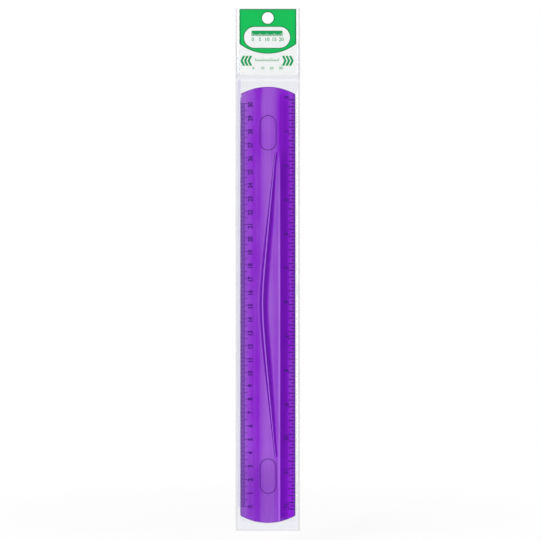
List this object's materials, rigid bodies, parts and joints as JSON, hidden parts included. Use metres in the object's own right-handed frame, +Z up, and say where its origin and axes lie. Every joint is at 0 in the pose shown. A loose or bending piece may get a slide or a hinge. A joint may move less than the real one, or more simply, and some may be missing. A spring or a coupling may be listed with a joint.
{
  "type": "flexible ruler",
  "caption": "Flexible plastic ruler with bevelled scale edges and a crescent rib, in a clear hanging bag with a header card and a flap over the mouth that it slides out of.",
  "frame": {"origin": "centre of the round hang hole, halfway through the header card", "axes": "+Z up along the ruler towards the hang hole, -Y out of the ruler's face, +X towards the inch edge"},
  "size_m": [0.048, 0.0046, 0.3891],
  "materials": {
    "blade_plastic": "translucent purple moulded plastic, smooth, with dark graduations",
    "clear_film": "clear glossy film with soft creases",
    "header_board": "coated board printed green over white",
    "strip_tape": "pressure-sensitive adhesive strip"
  },
  "bodies": {
    "bag": {"front_film": "clear_film", "back_film": "clear_film", "header_card": "header_board", "header_back_film": "clear_film"},
    "ruler": {"blade": "blade_plastic"},
    "flap": {"closing_flap": "clear_film", "adhesive_strip": "strip_tape"}
  },
  "joints": [
    {"name": "blade_slide", "type": "slide", "parent": "bag", "child": "ruler", "axis": [0, 0, 1], "range_m": [0, 0.39]},
    {"name": "flap_fold", "type": "hinge", "parent": "bag", "child": "flap", "pos_m": [0, 0.00415, -0.045], "axis": [-1, 0, 0], "range_deg": [0, 170]}
  ]
}
